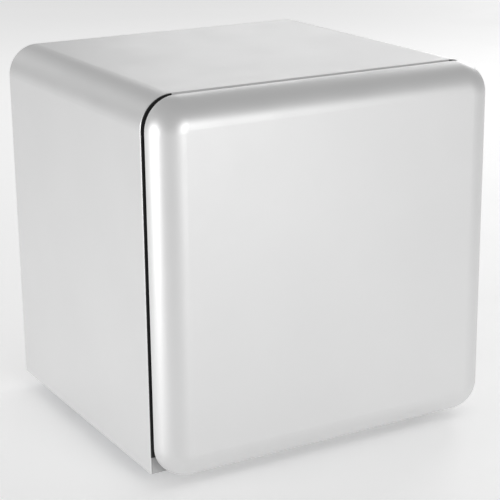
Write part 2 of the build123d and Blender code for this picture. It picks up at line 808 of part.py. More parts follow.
def thermostat_knob():
    y1 = Y_THERM - 1.5
    y0 = y1 - KNOB_H
    dial = rod_y(KNOB_X, KNOB_Z, y0 + GRIP_H, y1, KNOB_R)
    dial = fillet(dial.faces().sort_by(Axis.Y)[0].edges(), 2.5)
    reach = KNOB_R - 3
    grip = block(KNOB_X - 4, KNOB_X + 4, y0, y1 - 3, KNOB_Z - reach, KNOB_Z + reach)
    dial += fillet(grip.edges().filter_by(Axis.Y), 3.5)
    return dial - rod_y(KNOB_X, KNOB_Z, Y_THERM - 10, Y_THERM, SHAFT_R + 0.02)


def sensor_tube(grow):
    z = KNOB_Z - 10
    y = Y_THERM + 40
    x = EVAP_X + EVAP_HALF + 2
    return tube([(KNOB_X - 18, y, z), (x, y, z), (x, y + 70, z)], SENSOR_R + grow, 4)


# Shelf
def shelf_glass():
    return block(-SHELF_HALF, SHELF_HALF, Y_SHELF + 4, Y_CAV - 10, SHELF_Z, SHELF_Z + SHELF_T)


def shelf_trims():
    half = SHELF_HALF + 1
    y1 = Y_CAV - 5
    top = SHELF_Z + SHELF_T
    glass = block(-half - 1, half + 1, Y_SHELF + 4 - FIT, Y_CAV - 10 + FIT, SHELF_Z - FIT / 2, top + FIT / 2)
    front = block(-half, half, Y_SHELF, Y_SHELF + TRIM_FRONT_D, SHELF_Z - TRIM_LIP, top + TRIM_LIP)
    front = fillet(front.edges().filter_by(Axis.X).sort_by(Axis.Y)[:2], 3)
    rear = block(-half, half, y1 - TRIM_REAR_D, y1, SHELF_Z - TRIM_LIP, top + TRIM_LIP)
    rear = fillet(rear.edges().filter_by(Axis.X).sort_by(Axis.Y)[-2:], 3)
    return [front - glass, rear - glass]


# Door
def door_core(inset, y1):
    """Slab with round corners and the rolled edge round its front."""
    half = HALF_W - inset
    outline = round_rect(-half, half, Z_DOOR + inset, Z_TOP - inset, CORNER_R - inset)
    body = slab(outline, Y_DOOR + inset, y1)
    return fillet(front_edges(body, 0), ROLL_R - inset)


def hinge_pocket():
    """Slot in the door for the lower hinge arm over the whole swing."""
    x0 = HINGE_X - ARM_HALF - 1.5
    slot = block(x0, HALF_W + 5, HINGE_Y - 12, Y_DBACK + 1, HINGE_SEAT_Z - POCKET_H, HINGE_SEAT_Z)
    return fillet(slot.edges().filter_by(Axis.Z).sort_by(lambda e: e.center().X + e.center().Y)[:1], 5)


def door_skin():
    skin = door_core(0, Y_DBACK) - door_core(SKIN_T, Y_DBACK + 1)
    pocket = hinge_pocket()
    return skin - pocket - flip(pocket)


def liner_form(inset):
    """Raised part of the door's inner face with its two uprights."""
    y0 = Y_DBACK - LINER_T - FIT
    x = PLUG_HALF - inset
    outline = round_rect(-x, x, PLUG_Z0 + inset, PLUG_Z1 - inset, PLUG_R - inset)
    plug = slab(outline, y0, Y_DBACK + PLUG_RISE - inset)
    plug = fillet(back_edges(plug), 6 - inset)
    for side in (-1, 1):
        xs = sorted((side * (DYKE_X0 + inset), side * (DYKE_X1 - inset)))
        outline = round_rect(xs[0], xs[1], DYKE_Z0 + inset, DYKE_Z1 - inset, 9 - inset)
        dyke = slab(outline, Y_DBACK, Y_FRONT + DYKE_REACH - inset)
        plug += fillet(back_edges(dyke), 8 - inset)
    return plug


def door_liner():
    inset = SKIN_T + FIT
    half = HALF_W - inset
    outline = round_rect(-half, half, Z_DOOR + inset, Z_TOP - inset, CORNER_R - inset)
    plate = slab(outline, Y_DBACK - LINER_T, Y_DBACK)
    plate += liner_form(0) - block(-half, half, Y_DOOR, Y_DBACK - LINER_T, 0, Z_TOP)
    plate -= liner_form(LINER_T)
    for low in [size[0] for size in RACKS.values()]:
        for side in (-1, 1):
            inner = side * (DYKE_X0 - 4.5)
            outer = side * (DYKE_X0 + 1)
            plate += block(inner, outer, PEG_Y, PEG_Y + PEG_D, low + PEG_Z[0], low + PEG_Z[1])
    pocket = hinge_pocket()
    return plate - pocket - flip(pocket)


def hinge_block():
    box = block(BLOCK_X, HALF_W, Y_DBACK - BLOCK_D, Y_DBACK - LINER_T - FIT, *BLOCK_Z)
    box &= door_core(SKIN_T + FIT, Y_DBACK)
    return box - hinge_pocket() - post(HINGE_X, HINGE_Y, 50, HINGE_SEAT_Z + BUSH_H, BUSH_R + 0.02)


def hinge_bush():
    top = HINGE_SEAT_Z + BUSH_H
    bush = post(HINGE_X, HINGE_Y, HINGE_SEAT_Z, top, BUSH_R)
    return bush - post(HINGE_X, HINGE_Y, HINGE_SEAT_Z - 1, top - 1, PIN_R + 0.06)


def door_foam():
    back = Y_DBACK - LINER_T - FIT
    foam = door_core(SKIN_T + FIT, Y_DBACK) - block(-CAB_W, CAB_W, back, Y_FRONT, 0, CAB_W + 50)
    form = liner_form(LINER_T + FIT)
    foam += form - block(-CAB_W, CAB_W, Y_DOOR, back, 0, Z_TOP)
    room = 0.2
    low, top = BLOCK_Z
    seat = block(BLOCK_X - room, HALF_W, Y_DBACK - BLOCK_D - room, Y_DBACK, low - room, top + room)
    return foam - seat - flip(seat)


def seal_ring(inset, y0, y1):
    """One layer of the seal, measured from the door's inner face."""
    half = SEAL_HALF - inset
    low = SEAL_LOW + inset
    top = SEAL_TOP - inset
    width = SEAL_W - 2 * inset
    ring = slab(round_rect(-half, half, low, top, 20 - inset), Y_DBACK + y0, Y_DBACK + y1)
    hole = round_rect(width - half, half - width, low + width, top - width, 8)
    return ring - slab(hole, Y_DBACK - 1, Y_FRONT)


def door_gasket():
    foot = seal_ring(0, 0, 2.6)
    neck = seal_ring(3.5, 2.5, 4.6)
    cushion = seal_ring(0.8, 4.5, GAP - FRAME_T - SEAL_GAP)
    return foot + neck + cushion


def rack(low, height, reach):
    half = DYKE_X0 - 1.5
    y0 = Y_DBACK + PLUG_RISE + 1
    y1 = Y_FRONT + reach
    top = low + height
    w = RACK_WALL
    tub = fillet(block(-half, half, y0, y1, low, top).edges().filter_by(Axis.Z), 6)
    hollow = block(w - half, half - w, y0 + w, y1 - w, low + RACK_BASE, top + 1)
    tub -= fillet(hollow.edges().filter_by(Axis.Z), 6 - w)
    open_half = half - RACK_WINDOW_X
    slit = round_rect(-open_half, open_half, low + 0.5 * height, top - 9, 4)
    tub -= slab(slit, y1 - 4, y1 + 1)
    tub -= slab(round_rect(-open_half, open_half, low + 16, top + 20, 6), y0 - 1, y0 + 4)
    room = 0.4
    for side in (-1, 1):
        inner = side * (half - 4)
        outer = side * (half + 1)
        tub -= block(inner, outer, PEG_Y - room, PEG_Y + PEG_D + room, low - 1, low + PEG_Z[1] + 0.2)
    return tub


# Hinge pieces on the cabinet
def hinge_screw(z, grow):
    y0 = Y_FRONT - FRAME_T - ARM_T
    head = Pos(HINGE_X, y0 + 1, z) * Rot(90, 0, 0) * Cone(HINGE_SCREW_R + grow, HINGE_HEAD_R + grow, 2)
    return head + rod_y(HINGE_X, z, y0 + 1.5, y0 + 13, HINGE_SCREW_R + grow)


def hinge_screw_list(grow):
    low = [hinge_screw(z, grow) for z in HINGE_SCREW_Z]
    return low + [flip(s) for s in low]


def hinge_screws(grow):
    return Compound(children=hinge_screw_list(grow))


def hinge_bracket():
    x0 = HINGE_X - ARM_HALF
    x1 = HINGE_X + ARM_HALF
    y1 = Y_FRONT - FRAME_T
    bracket = block(x0, x1, y1 - ARM_T, y1, ARM_Z, ARM_Z + HINGE_PLATE_H)
    bracket += block(x0, x1, HINGE_Y, y1, ARM_Z, ARM_Z + ARM_T)
    bracket += post(HINGE_X, HINGE_Y, ARM_Z, ARM_Z + ARM_T, ARM_HALF)
    bracket -= post(HINGE_X, HINGE_Y, ARM_Z - 1, ARM_Z + 10, PIN_R + 0.02)
    for z in HINGE_SCREW_Z:
        bracket -= hinge_screw(z, 0.05)
    return bracket


def hinge_pin():
    top = ARM_Z + ARM_T + PIN_H
    pin = post(HINGE_X, HINGE_Y, ARM_Z, top, PIN_R)
    return chamfer(pin.faces().sort_by(Axis.Z)[-1].edges(), 0.8)


def hinge_washer():
    z0 = ARM_Z + ARM_T
    washer = post(HINGE_X, HINGE_Y, z0, z0 + WASHER_T, WASHER_R)
    return washer - post(HINGE_X, HINGE_Y, z0 - 1, z0 + 2, PIN_R + FIT)


def hinge_backing_plates():
    y0 = Y_FRONT + WRAP_T
    plate = block(BLOCK_X, HALF_W - 3, y0, y0 + 3, *BACKING_Z)
    for z in HINGE_SCREW_Z:
        plate -= hinge_screw(z, 0.05)
    return [plate, flip(plate)]


def pair(shape):
    return [shape, flip(shape)]


# Feet
def foot_pad(side):
    x = side * FOOT_X
    pad = post(x, FOOT_Y, 0, PAD_H, PAD_R)
    pad = fillet(pad.faces().sort_by(Axis.Z)[-1].edges(), 3)
    return pad - post(x, FOOT_Y, 4, PAD_H + 1, STUD_R + 0.4)


def foot_stud(side):
    x = side * FOOT_X
    collar = Pos(x, FOOT_Y, HEX_Z) * extrude(RegularPolygon(HEX_R, 6), amount=HEX_H)
    return collar + post(x, FOOT_Y, 4.4, STUD_TOP, STUD_R)


def foot_nuts():
    nuts = []
    for side in (-1, 1):
        x = side * FOOT_X
        z0 = Z_BASE + SHEET_T
        nut = post(x, FOOT_Y, z0, z0 + NUT_H, NUT_R)
        nuts.append(nut - post(x, FOOT_Y, z0 - 1, z0 + NUT_H + 1, STUD_R + 0.08))
    return nuts


def rear_feet():
    feet = []
    for side in (-1, 1):
        foot = post(side * FOOT_X, REAR_FOOT_Y, 0, Z_BASE, REAR_FOOT_R)
        feet.append(fillet(foot.faces().sort_by(Axis.Z)[0].edges(), 2))
    return feet


save(outer_wrap(), "outer_wrap")
save(front_frame(), "front_frame")
save(front_sill(), "front_sill")
save(base_pan(), "base_pan")
save(rear_panel(), "rear_panel")
save_group(rear_panel_screws(), "rear_panel_screws")
save(step_panel(), "step_panel")
save(inner_liner(), "inner_liner")
save(cabinet_foam(), "cabinet_foam")
save(compressor_rail(), "compressor_rail")
save(cord_gland(), "cord_gland")
save(compressor_can(), "compressor_can")
save(compressor_lid(), "compressor_lid")
save(compressor_mount_plate(), "compressor_mount_plate")
save_group(compressor_grommets(), "compressor_grommets")
save_group(compressor_bolts(), "compressor_bolts")
save(terminal_cover(), "terminal_cover")
save(start_relay(), "start_relay")
save(condenser_coil(), "condenser_coil")
save(discharge_tube(), "discharge_tube")
save(filter_drier(), "filter_drier")
save(capillary_tube(0), "capillary_tube")
save(suction_tube(0), "suction_tube")
save(process_tube(), "process_tube")
save(evaporator(), "evaporator")
save_group(evaporator_spacers(), "evaporator_spacers")
save_group(evaporator_screws(0), "evaporator_screws")
save(freezer_frame(), "freezer_frame")
save(freezer_flap(), "freezer_flap")
save(drip_tray(), "drip_tray")
save_group(tray_rails(), "tray_rails")
save(thermostat_housing(), "thermostat_housing")
save(thermostat_body(), "thermostat_body")
save(thermostat_shaft(), "thermostat_shaft")
save(thermostat_knob(), "thermostat_knob")
save(sensor_tube(0), "sensor_tube")
save(shelf_glass(), "shelf_glass")
save_group(shelf_trims(), "shelf_trims")
save(door_skin(), "door_skin")
save(door_liner(), "door_liner")
save(door_foam(), "door_foam")
save(door_gasket(), "door_gasket")
for rack_name, size in RACKS.items():
    save(rack(*size), rack_name)
save_group(pair(hinge_block()), "hinge_blocks")
save_group(pair(hinge_bush()), "hinge_bushes")
save(hinge_bracket(), "lower_hinge_bracket")
save(flip(hinge_bracket()), "upper_hinge_bracket")
save_group(pair(hinge_pin()), "hinge_pins")
save_group(pair(hinge_washer()), "hinge_washers")
save_group(hinge_screw_list(0), "hinge_screws")
save_group(hinge_backing_plates(), "hinge_backing_plates")
for foot_side, foot_name in ((-1, "left_foot"), (1, "right_foot")):
    save(foot_pad(foot_side), foot_name + "_pad")
    save(foot_stud(foot_side), foot_name + "_stud")
save_group(foot_nuts(), "foot_nuts")
save_group(rear_feet(), "rear_feet")
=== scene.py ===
import json
import math

import bpy
from mathutils import Matrix, Vector


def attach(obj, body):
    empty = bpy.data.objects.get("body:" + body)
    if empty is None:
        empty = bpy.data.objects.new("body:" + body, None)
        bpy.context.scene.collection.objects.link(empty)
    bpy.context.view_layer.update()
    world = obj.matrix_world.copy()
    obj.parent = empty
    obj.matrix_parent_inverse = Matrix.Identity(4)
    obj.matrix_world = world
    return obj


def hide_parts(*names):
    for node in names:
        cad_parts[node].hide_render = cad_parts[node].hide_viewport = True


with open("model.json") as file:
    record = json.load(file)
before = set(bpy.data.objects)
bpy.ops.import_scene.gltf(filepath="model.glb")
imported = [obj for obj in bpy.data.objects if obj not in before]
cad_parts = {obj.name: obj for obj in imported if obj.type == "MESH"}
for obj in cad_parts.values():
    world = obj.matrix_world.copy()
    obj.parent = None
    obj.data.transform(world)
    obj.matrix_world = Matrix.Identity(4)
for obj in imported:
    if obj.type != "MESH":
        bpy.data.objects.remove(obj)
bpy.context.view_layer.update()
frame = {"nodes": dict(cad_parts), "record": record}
nodes = frame["nodes"]
scene = bpy.context.scene

# Materials: the part of a noise value's range that is used, and how tone, gloss and grain relate
NOISE_LOW = 0.3
NOISE_HIGH = 0.7
GLOSS_FINENESS = 3.1
GLOSS_DETAIL = 4.0
GRAIN_DETAIL = 2.0
GRAIN_STRENGTH = 0.25

# Screws. All sizes and places from here on are in metres
SCREW_HEAD_R = 0.004
SCREW_RINGS = 22
SCREW_SEGMENTS = 72
HEAD_DOME = 0.38        # drop of a round head's rim, as a share of the head's height
RECESS_REACH = 0.62     # length of the driver recess from the axis, as a share of the head's radius
RECESS_WIDTH = 0.26     # width of one arm of the recess, as a share of the head's radius
RECESS_DEPTH = 0.75     # depth of the recess, as a share of the head's height
RECESS_END_SLOPE = 0.45
RECESS_SIDE_SLOPE = 0.3
RECESS_SIDE_START = 0.35
REAR_SCREW_X = 0.229
REAR_SCREW_SEAT = 0.2225
REAR_SCREW_LOW = 0.190
REAR_SCREW_STEP = 0.078
REAR_SCREWS_PER_SIDE = 4
HINGE_SCREW_X = 0.227
HINGE_SCREW_SEAT = -0.1811
HINGE_SCREW_HEIGHTS = (0.075, 0.095, 0.403, 0.423)
EVAPORATOR_SCREW_X = (-0.146, 0.074)
EVAPORATOR_SCREW_Y = (0.0015, 0.1215)
EVAPORATOR_SCREW_SEAT = 0.4325

# Compressor
BOLT_X = (-0.012, 0.152)
BOLT_Y = (0.1145, 0.1905)
BOLT_END = 0.015
BOLT_POINT = 0.0008
BOLT_POINT_R = 0.0024
BOLT_R = 0.003
BOLT_SEAT = 0.032
BOLT_FLANGE_R = 0.0055
BOLT_FLANGE_T = 0.0006
BOLT_FLANGE_SLOPE = 0.0005
BOLT_HEX_FOOT_R = 0.0048
BOLT_HEX_R = 0.0047
BOLT_CROWN = 0.0005
BOLT_CROWN_R = 0.0036
BOLT_TOP = 0.036
CAN_X = 0.070
CAN_Y = 0.1525
WELD_RX = 0.0729
WELD_RY = 0.0559
WELD_Z = 0.0990
WELD_R = 0.0011
WELD_RIPPLE = 0.10
WELD_STEPS = 240
BAIL_INNER_X = -0.004
BAIL_OUTER_X = -0.0374
BAIL_LEGS_Y = (0.1241, 0.1809)
BAIL_Z = 0.072
BAIL_CORNER = 0.004
BAIL_STEPS = 8
BAIL_R = 0.0009

# Front feet
FOOT_X = 0.175
FOOT_Y = -0.1335
FOOT_HEX_LOW = 0.0105
FOOT_HEX_TOP = 0.017
FOOT_HEX_R = 0.0075
FOOT_HEX_CHAMFER = 0.0003
FOOT_HEX_LOW_R = 0.0068
FOOT_HEX_TOP_R = 0.0066
STUD_LOW = 0.0044
STUD_TOP = 0.040
STUD_R = 0.004
STUD_END_R = 0.0031
THREAD_PITCH = 0.00125
THREAD_DEPTH = 0.00065
THREAD_SHAPE = 0.8      # below 1 the crests are sharper than the roots
THREAD_STEPS = 12
THREAD_SEGMENTS = 24

# Door seal
SEAL_BACK = -0.1885
SEAL_HALF_W = 0.217
SEAL_LOW = 0.042
SEAL_TOP = 0.461
SEAL_CORNER = 0.020
SEAL_CORNER_STEPS = 12
# Foot, folded neck, cushion over the magnet, and back down: (inward from the outer edge, rise from the door)
SEAL_PROFILE = [
    (0.0, 0.0), (0.0, 0.0012), (0.0008, 0.0024), (0.0032, 0.0026), (0.0038, 0.0034), (0.0030, 0.0044),
    (0.0012, 0.0048), (0.0010, 0.0058), (0.0016, 0.0074), (0.0034, 0.0081), (0.0060, 0.0079),
    (0.0075, 0.0081), (0.0098, 0.0081), (0.0124, 0.0077), (0.0139, 0.0062), (0.0136, 0.0050),
    (0.0118, 0.0046), (0.0112, 0.0036), (0.0120, 0.0026), (0.0144, 0.0023), (0.0150, 0.0011),
    (0.0150, 0.0),
]

# Thermostat dial
DIAL_X = 0.160
DIAL_Z = 0.410
DIAL_FACE = -0.0285
DIAL_START = 180.0
DIAL_TURN = 270.0
DIGITS = 8
DIGIT_RING = 0.0262
DIGIT_SIZE = 0.0062
DIGIT_LIFT = 0.00005
DIGIT_HALF_T = 0.00004
STROKES = 15
STROKE_RING = (0.0209, 0.0223)
STROKE_LIFT = (0.00001, 0.00009)
LONG_STROKE_HALF_W = 0.00035
SHORT_STROKE_HALF_W = 0.0002
KNOB_FACE = -0.0455
POINTER_R = 0.0009
POINTER_ENDS = (-0.0080, -0.0152)
POINTER_STEPS = 12
POINTER_SUNK = 0.00004
POINTER_T = 0.00009

# Floor, camera and light
FLOOR_R = 8.5
FLOOR_SEGMENTS = 180
FLOOR_Z = -0.0004
FLOOR_GLOW = 0.25
CAMERA_YAW = 29.7105
CAMERA_PITCH = 17.1575
CAMERA_ROLL = -0.6292
CAMERA_PLACE = (-0.9740, -1.7187, 0.8267)
CAMERA_LENS = 111.065
CAMERA_SENSOR = 36.0
CAMERA_REACH = 50.0
SKY_STRENGTH = 0.45
MIDDLE = (0, 0, 0.25)
LIGHT_NEAR = 3.0
LIGHT_FAR = 5.5
LIGHT_SPREAD = 110.0
LEFT_PLACE = (-2.97, 0.42, 0.65)
LEFT_TARGET = (0, 0, 0.45)
LEFT_LOW_PLACE = (-2.97, 0.12, 0.26)
LEFT_LOW_TARGET = (0, 0, 0.24)
LEFT_LOW_SPREAD = 50.0


# Materials
def new_material(name):
    mat = bpy.data.materials.new(name)
    mat.use_nodes = True
    tree = mat.node_tree
    return mat, tree, tree.nodes["Principled BSDF"]


def coords(tree, stretch=(1, 1, 1)):
    """Coordinates on the object, in metres."""
    where = tree.nodes.new("ShaderNodeTexCoord")
    mapping = tree.nodes.new("ShaderNodeMapping")
    mapping.inputs["Scale"].default_value = stretch
    tree.links.new(where.outputs["Object"], mapping.inputs["Vector"])
    return mapping.outputs["Vector"]


def noise(tree, vector, scale, detail=3.0):
    tex = tree.nodes.new("ShaderNodeTexNoise")
    tex.inputs["Scale"].default_value = scale
    tex.inputs["Detail"].default_value = detail
    tree.links.new(vector, tex.inputs["Vector"])
    return tex.outputs["Fac"]


def cells(tree, vector, scale):
    tex = tree.nodes.new("ShaderNodeTexVoronoi")
    tex.inputs["Scale"].default_value = scale
    tree.links.new(vector, tex.inputs["Vector"])
    return tex


def ramp(tree, fac, low, high):
    """Colour between two (place, colour) stops."""
    node = tree.nodes.new("ShaderNodeValToRGB")
    for element, (place, colour) in zip(node.color_ramp.elements, (low, high)):
        element.position = place
        element.color = (*colour, 1)
    tree.links.new(fac, node.inputs["Fac"])
    return node.outputs["Color"]


def span(tree, value, low, high):
    """The middle of a noise value's range, stretched to low and high."""
    node = tree.nodes.new("ShaderNodeMapRange")
    node.inputs["From Min"].default_value = NOISE_LOW
    node.inputs["From Max"].default_value = NOISE_HIGH
    node.inputs["To Min"].default_value = low
    node.inputs["To Max"].default_value = high
    tree.links.new(value, node.inputs["Value"])
    return node.outputs["Result"]


def bump(tree, bsdf, height, strength, distance):
    node = tree.nodes.new("ShaderNodeBump")
    node.inputs["Strength"].default_value = strength
    node.inputs["Distance"].default_value = distance
    tree.links.new(height, node.inputs["Height"])
    tree.links.new(node.outputs["Normal"], bsdf.inputs["Normal"])


def shade(colour, factor):
    return tuple(min(1.0, c * factor) for c in colour)


def surface(name, colour, rough, metallic=0.0, vary=0.04, scale=25.0, grain=900.0, grain_depth=0.00002,
            rough_vary=0.06, stretch=(1, 1, 1)):
    """Moulded plastic, paint, rubber or bare metal with uneven tone, gloss and a fine grain."""
    mat, tree, bsdf = new_material(name)
    vector = coords(tree, stretch)
    tone = noise(tree, vector, scale)
    tones = ramp(tree, tone, (NOISE_LOW, shade(colour, 1 - vary)), (NOISE_HIGH, shade(colour, 1 + vary)))
    tree.links.new(tones, bsdf.inputs["Base Color"])
    gloss = noise(tree, vector, scale * GLOSS_FINENESS, GLOSS_DETAIL)
    tree.links.new(span(tree, gloss, rough - rough_vary, rough + rough_vary), bsdf.inputs["Roughness"])
    bump(tree, bsdf, noise(tree, vector, grain, GRAIN_DETAIL), GRAIN_STRENGTH, grain_depth)
    bsdf.inputs["Metallic"].default_value = metallic
    return mat


def zinc_coated(name):
    """Galvanised sheet with its crystal pattern."""
    mat, tree, bsdf = new_material(name)
    vector = coords(tree)
    crystal = cells(tree, vector, 160.0)
    blotch = noise(tree, vector, 14.0)
    grey = ramp(tree, crystal.outputs["Color"], (0.0, (0.40, 0.41, 0.42)), (1.0, (0.62, 0.63, 0.65)))
    tree.links.new(grey, bsdf.inputs["Base Color"])
    tree.links.new(span(tree, blotch, 0.32, 0.5), bsdf.inputs["Roughness"])
    bump(tree, bsdf, crystal.outputs["Distance"], 0.15, 0.00003)
    bsdf.inputs["Metallic"].default_value = 1.0
    return mat


def see_through(name, colour, clear, rough):
    """Glass or clear plastic with a trace of haze."""
    mat, tree, bsdf = new_material(name)
    vector = coords(tree)
    haze = noise(tree, vector, 60.0)
    tint = ramp(tree, haze, (NOISE_LOW, shade(colour, 0.97)), (NOISE_HIGH, shade(colour, 1.02)))
    tree.links.new(tint, bsdf.inputs["Base Color"])
    gloss = noise(tree, vector, 300.0)
    tree.links.new(span(tree, gloss, rough - 0.04, rough + 0.05), bsdf.inputs["Roughness"])
    bump(tree, bsdf, noise(tree, vector, 700.0, GRAIN_DETAIL), 0.1, 0.00002)
    bsdf.inputs["Transmission Weight"].default_value = clear
    bsdf.inputs["IOR"].default_value = 1.49
    return mat


MATS = {
    "silver_paint": surface("silver_paint", (0.80, 0.80, 0.80), 0.47, metallic=0.85, vary=0.012, scale=6.0,
                            grain=260.0, grain_depth=0.000012, rough_vary=0.03),
    "grey_sheet": surface("grey_sheet", (0.52, 0.52, 0.52), 0.42, vary=0.03, grain=300.0),
    "zinc_sheet": zinc_coated("zinc_sheet"),
    "zinc_screw": surface("zinc_screw", (0.62, 0.61, 0.58), 0.34, metallic=1.0, vary=0.08, scale=90.0),
    "dark_frame": surface("dark_frame", (0.016, 0.016, 0.017), 0.55, vary=0.06, scale=60.0, grain=1500.0,
                          grain_depth=0.00004),
    "dark_seal": surface("dark_seal", (0.014, 0.014, 0.015), 0.6, vary=0.2, scale=60.0, grain=1200.0),
    "liner_white": surface("liner_white", (0.80, 0.81, 0.81), 0.36, vary=0.015, scale=9.0, grain=700.0),
    "foam": surface("foam", (0.72, 0.62, 0.36), 0.9, vary=0.12, scale=120.0, grain=600.0, grain_depth=0.0004),
    "black_paint": surface("black_paint", (0.018, 0.018, 0.019), 0.38, vary=0.2, scale=40.0, grain=450.0),
    "black_rubber": surface("black_rubber", (0.02, 0.02, 0.02), 0.7, vary=0.2, scale=80.0, grain=1500.0),
    "copper": surface("copper", (0.78, 0.40, 0.25), 0.34, metallic=1.0, vary=0.18, scale=55.0,
                      rough_vary=0.1),
    "aluminium": surface("aluminium", (0.74, 0.75, 0.76), 0.4, metallic=1.0, vary=0.05, scale=30.0,
                         grain=500.0, stretch=(0.2, 1, 1)),
    "white_plastic": surface("white_plastic", (0.78, 0.79, 0.79), 0.38, vary=0.02, scale=18.0, grain=1100.0),
    "clear_plastic": see_through("clear_plastic", (0.86, 0.90, 0.93), 0.55, 0.18),
    "grey_plastic": surface("grey_plastic", (0.10, 0.10, 0.11), 0.5, vary=0.08, scale=50.0, grain=1300.0),
    "glass": see_through("glass", (0.93, 0.98, 0.96), 0.97, 0.06),
    "acetal": surface("acetal", (0.74, 0.74, 0.71), 0.4, vary=0.03, scale=60.0),
    "ink": surface("ink", (0.05, 0.06, 0.08), 0.5, vary=0.15, scale=300.0),
}

for part in frame["record"]["subparts"]:
    obj = nodes[part["node"]]
    obj.data.materials.clear()
    obj.data.materials.append(MATS[part["material_slot"]])


# Detail pieces
def piece(name, verts, faces, slot, body="cabinet", node=None, sharp=40.0):
    """One mesh that rides on a body and, where a node is given, stands for that node."""
    mesh = bpy.data.meshes.new(name)
    mesh.from_pydata(verts, [], faces)
    mesh.validate()
    mesh.materials.append(MATS[slot])
    mesh.shade_smooth()
    mesh.set_sharp_from_angle(angle=math.radians(sharp))
    obj = bpy.data.objects.new(name, mesh)
    scene.collection.objects.link(obj)
    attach(obj, body)
    if node:
        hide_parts(node)


class Soup:
    """Vertices and faces of several shells that make one piece."""

    def __init__(self):
        self.verts = []
        self.faces = []

    def add(self, verts, faces):
        base = len(self.verts)
        self.verts += [tuple(v) for v in verts]
        self.faces += [tuple(base + i for i in f) for f in faces]


def circle(segments):
    """Angles once round."""
    return [2 * math.pi * k / segments for k in range(segments)]


def bands(rows, segments):
    """Faces between rows of a tube whose rows are rings of vertices, anticlockwise seen from the last row."""
    faces = []
    for i in range(rows - 1):
        for k in range(segments):
            n = (k + 1) % segments
            faces.append((i * segments + k, i * segments + n, (i + 1) * segments + n, (i + 1) * segments + k))
    return faces


def caps(rows, segments):
    """Flat faces over the first and the last ring of a tube."""
    last = (rows - 1) * segments
    return [tuple(reversed(range(segments))), tuple(range(last, last + segments))]


def lathe(rings, place, segments=60, twist=0.0):
    """Rings of (height, radius, share of hexagon) round an axis, closed at both ends."""
    verts = []
    for height, radius, hexagon in rings:
        for a in circle(segments):
            bend = (a + twist) % (math.pi / 3) - math.pi / 6
            r = radius * (1 - hexagon + hexagon * math.cos(math.pi / 6) / math.cos(bend))
            verts.append(place @ Vector((r * math.cos(a), r * math.sin(a), height)))
    return verts, bands(len(rings), segments) + caps(len(rings), segments)


def cross_recess(x, y, reach, width, depth):
    """Depth of a cross-shaped driver recess at a point of a screw head."""
    def arm(along, across):
        end = (reach - abs(along)) / (RECESS_END_SLOPE * reach)
        side = (width / 2 - abs(across)) / (RECESS_SIDE_SLOPE * width) + RECESS_SIDE_START
        return min(1.0, max(0.0, end)) * min(1.0, max(0.0, side))
    return depth * max(arm(x, y), arm(y, x))


def screw(place, head_h, shank_r, shank_length, sunk):
    """Cross-recessed screw. Local +Z points out of the head and z = 0 is the seat under it."""
    turn = circle(SCREW_SEGMENTS)
    recess = (RECESS_REACH * SCREW_HEAD_R, RECESS_WIDTH * SCREW_HEAD_R, RECESS_DEPTH * head_h)
    verts = []
    for i in range(SCREW_RINGS + 1):
        share = i / SCREW_RINGS
        r = SCREW_HEAD_R * share
        dome = 0.0 if sunk else HEAD_DOME * head_h * share ** 3
        for a in turn:
            x, y = r * math.cos(a), r * math.sin(a)
            verts.append(Vector((x, y, head_h - dome - cross_recess(x, y, *recess))))
    skirt = [(0.0, shank_r if sunk else SCREW_HEAD_R), (0.0, shank_r), (-shank_length, shank_r)]
    for z, r in skirt:
        verts += [Vector((r * math.cos(a), r * math.sin(a), z)) for a in turn]
    rows = SCREW_RINGS + 1 + len(skirt)
    end = caps(rows, SCREW_SEGMENTS)[1]
    faces = [tuple(reversed(f)) for f in bands(rows, SCREW_SEGMENTS) + [end]]
    return [place @ v for v in verts], faces


def facing(point, direction):
    """Place whose local +Z points that way."""
    return Matrix.Translation(point) @ Vector(direction).to_track_quat("Z", "Y").to_matrix().to_4x4()


def screw_group(name, node, points, direction, head_h, shank_r, shank_length, sunk=False):
    """The screws of one node, with all heads facing one way."""
    soup = Soup()
    for point in points:
        soup.add(*screw(facing(point, direction), head_h, shank_r, shank_length, sunk))
    piece(name, soup.verts, soup.faces, "zinc_screw", node=node)


def screws():
    heights = [REAR_SCREW_LOW + k * REAR_SCREW_STEP for k in range(REAR_SCREWS_PER_SIDE)]
    rear = [(side * REAR_SCREW_X, REAR_SCREW_SEAT, z) for side in (-1, 1) for z in heights]
    screw_group("rear_screws_detail", "rear_panel_screws", rear, (0, 1, 0),
                head_h=0.002, shank_r=0.0019, shank_length=0.001)
    hinge = [(HINGE_SCREW_X, HINGE_SCREW_SEAT, z) for z in HINGE_SCREW_HEIGHTS]
    screw_group("hinge_screws_detail", "hinge_screws", hinge, (0, -1, 0),
                head_h=0.002, shank_r=0.002, shank_length=0.011, sunk=True)
    roof = [(x, y, EVAPORATOR_SCREW_SEAT) for x in EVAPORATOR_SCREW_X for y in EVAPORATOR_SCREW_Y]
    screw_group("evaporator_screws_detail", "evaporator_screws", roof, (0, 0, -1),
                head_h=0.0022, shank_r=0.002, shank_length=0.0235)


